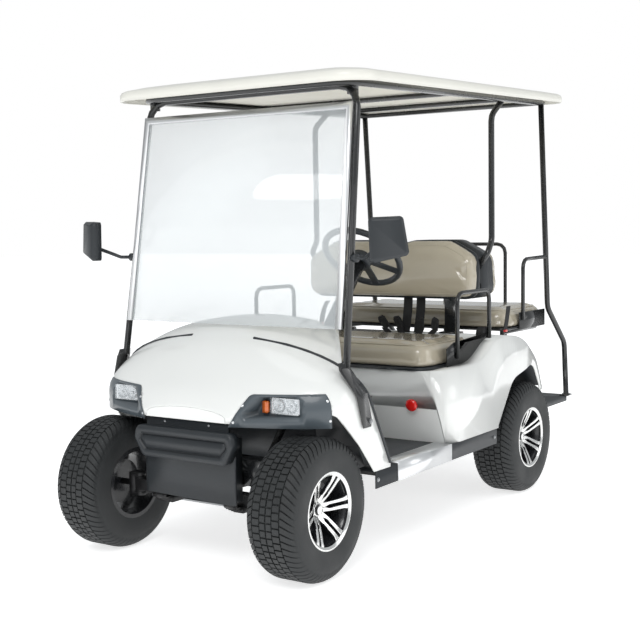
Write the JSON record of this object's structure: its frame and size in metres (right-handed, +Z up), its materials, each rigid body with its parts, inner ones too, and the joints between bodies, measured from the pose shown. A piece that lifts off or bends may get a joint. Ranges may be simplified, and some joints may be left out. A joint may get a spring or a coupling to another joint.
{
  "type": "golf cart",
  "caption": "Open golf cart with a roof on tube struts, a front bench, a rear-facing back seat with a foot plate, a windscreen, mirrors and split-spoke wheels.",
  "frame": {"origin": "on the floor under the middle of the bounding box", "axes": "+X to the driver's left, -Y to the front, +Z up"},
  "size_m": [1.5622, 2.604, 1.9027],
  "materials": {
    "body_paint": "gloss",
    "roof_plastic": "satin",
    "liner_plastic": "matt",
    "frame_paint": "satin",
    "chassis_paint": "matt",
    "black_plastic": "satin",
    "seat_vinyl": "satin",
    "tyre_rubber": "matt",
    "rim_metal": "polished",
    "lamp_glass": "clear",
    "indicator_glass": "gloss",
    "screen_glass": "clear",
    "bright_aluminium": "brushed",
    "mat_rubber": "matt",
    "red_plastic": "gloss",
    "steel": "satin",
    "belt_black": "matt",
    "battery_case": "matt"
  },
  "bodies": {
    "cart": {"backrest_pads": "seat_vinyl", "backrest_shells": "black_plastic", "battery_block": "battery_case", "chassis_frame": "chassis_paint", "dashboard": "black_plastic", "drive_motor": "chassis_paint", "emergency_button": "red_plastic", "floor_mat": "mat_rubber", "floor_pan": "black_plastic", "footplate": "mat_rubber", "front_axle": "chassis_paint", "front_bumper": "black_plastic", "front_cowl": "body_paint", "front_shield": "black_plastic", "grab_hoop": "frame_paint", "headlamp_bezels": "black_plastic", "headlamp_lenses": "lamp_glass", "hip_restraints": "frame_paint", "indicator_lenses": "indicator_glass", "mirrors": "black_plastic", "pedals": "steel", "rear_axle": "chassis_paint", "rear_body": "body_paint", "rear_seat_cushion": "seat_vinyl", "rear_seat_pan": "frame_paint", "rocker_panels": "black_plastic", "roof_frame": "frame_paint", "roof_liner": "liner_plastic", "roof_shell": "roof_plastic", "roof_struts": "frame_paint", "seat_belts": "belt_black", "seat_frame": "frame_paint", "steering_column": "frame_paint", "step_plates": "bright_aluminium", "suspension": "chassis_paint", "wheel_liners": "black_plastic", "windscreen": "screen_glass", "windscreen_channels": "bright_aluminium"},
    "knuckle_left": {"knuckle_left": "chassis_paint"},
    "knuckle_right": {"knuckle_right": "chassis_paint"},
    "wheel_front_left": {"tyre_front_left": "tyre_rubber", "rim_front_left": "rim_metal"},
    "wheel_front_right": {"tyre_front_right": "tyre_rubber", "rim_front_right": "rim_metal"},
    "wheel_rear_left": {"tyre_rear_left": "tyre_rubber", "rim_rear_left": "rim_metal"},
    "wheel_rear_right": {"tyre_rear_right": "tyre_rubber", "rim_rear_right": "rim_metal"},
    "steering_wheel": {"steering_wheel": "black_plastic"},
    "tie_rod": {"tie_rod": "steel"},
    "pitman_arm": {"pitman_arm": "steel"},
    "seat_lid": {"front_seat_cushion": "seat_vinyl", "front_seat_base": "black_plastic"}
  },
  "joints": [
    {"name": "steer_left", "type": "hinge", "parent": "cart", "child": "knuckle_left", "pos_m": [0.337, -1.045, 0.257], "axis": [0, 0, 1], "range_deg": [-28, 28]},
    {"name": "steer_right", "type": "hinge", "parent": "cart", "child": "knuckle_right", "pos_m": [-0.337, -1.045, 0.257], "axis": [0, 0, 1], "range_deg": [-28, 28]},
    {"name": "tie_rod_turn", "type": "hinge", "parent": "knuckle_left", "child": "tie_rod", "pos_m": [0.337, -0.961, 0.1957], "axis": [0, 0, 1], "range_deg": [-28, 28]},
    {"name": "pitman_turn", "type": "hinge", "parent": "cart", "child": "pitman_arm", "pos_m": [0.255, -1.045, 0.312], "axis": [0, 0, 1], "range_deg": [-28, 28]},
    {"name": "steering_wheel_turn", "type": "hinge", "parent": "cart", "child": "steering_wheel", "pos_m": [0.285, -0.375, 1.129], "axis": [0, 0.682, 0.7314], "range_deg": [-336, 336]},
    {"name": "wheel_front_left_spin", "type": "hinge", "parent": "knuckle_left", "child": "wheel_front_left", "pos_m": [0.459, -1.045, 0.257], "axis": [1, 0, 0], "continuous": true},
    {"name": "wheel_front_right_spin", "type": "hinge", "parent": "knuckle_right", "child": "wheel_front_right", "pos_m": [-0.459, -1.045, 0.257], "axis": [1, 0, 0], "continuous": true},
    {"name": "wheel_rear_left_spin", "type": "hinge", "parent": "cart", "child": "wheel_rear_left", "pos_m": [0.4915, 0.625, 0.257], "axis": [1, 0, 0], "continuous": true},
    {"name": "wheel_rear_right_spin", "type": "hinge", "parent": "cart", "child": "wheel_rear_right", "pos_m": [-0.4915, 0.625, 0.257], "axis": [1, 0, 0], "continuous": true},
    {"name": "seat_lid_turn", "type": "hinge", "parent": "cart", "child": "seat_lid", "pos_m": [0, -0.23, 0.6603], "axis": [1, 0, 0], "range_deg": [0, 60]}
  ],
  "couplings": [
    {"joint": "steer_right", "follows": "steer_left", "ratio": 1},
    {"joint": "tie_rod_turn", "follows": "steer_left", "ratio": -1},
    {"joint": "pitman_turn", "follows": "steer_left", "ratio": 1},
    {"joint": "steering_wheel_turn", "follows": "steer_left", "ratio": 12}
  ]
}
